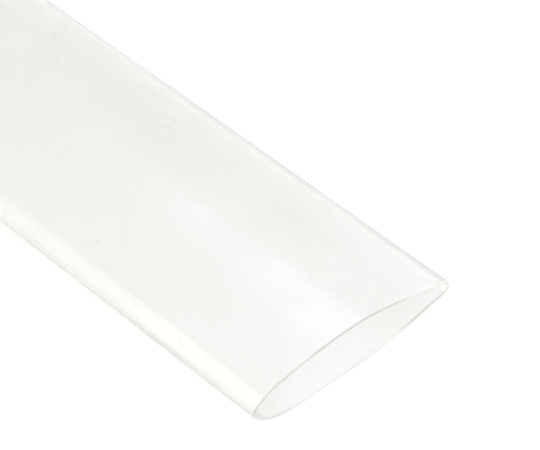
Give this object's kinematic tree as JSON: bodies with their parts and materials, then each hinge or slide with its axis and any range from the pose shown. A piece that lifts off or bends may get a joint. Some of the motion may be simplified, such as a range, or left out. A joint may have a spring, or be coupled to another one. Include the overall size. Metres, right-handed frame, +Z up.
{
  "type": "heat shrink tube",
  "caption": "Clear thin-wall heat shrink tube, cut to length and unshrunk, lying flattened with its bore a little open and a fold along each side.",
  "frame": {"origin": "on the floor under the middle of the tube: the bottom centre of its box", "axes": "+X along the tube, +Z up through its flattened height, +Y across it from the fold with the shoulder to the plainer fold"},
  "size_m": [0.1524, 0.0388, 0.0087],
  "materials": {
    "clear_polyolefin": "clear, slightly milky, smooth and glossy"
  },
  "bodies": {
    "root": {"heat_shrink_tube": "clear_polyolefin"}
  },
  "joints": []
}
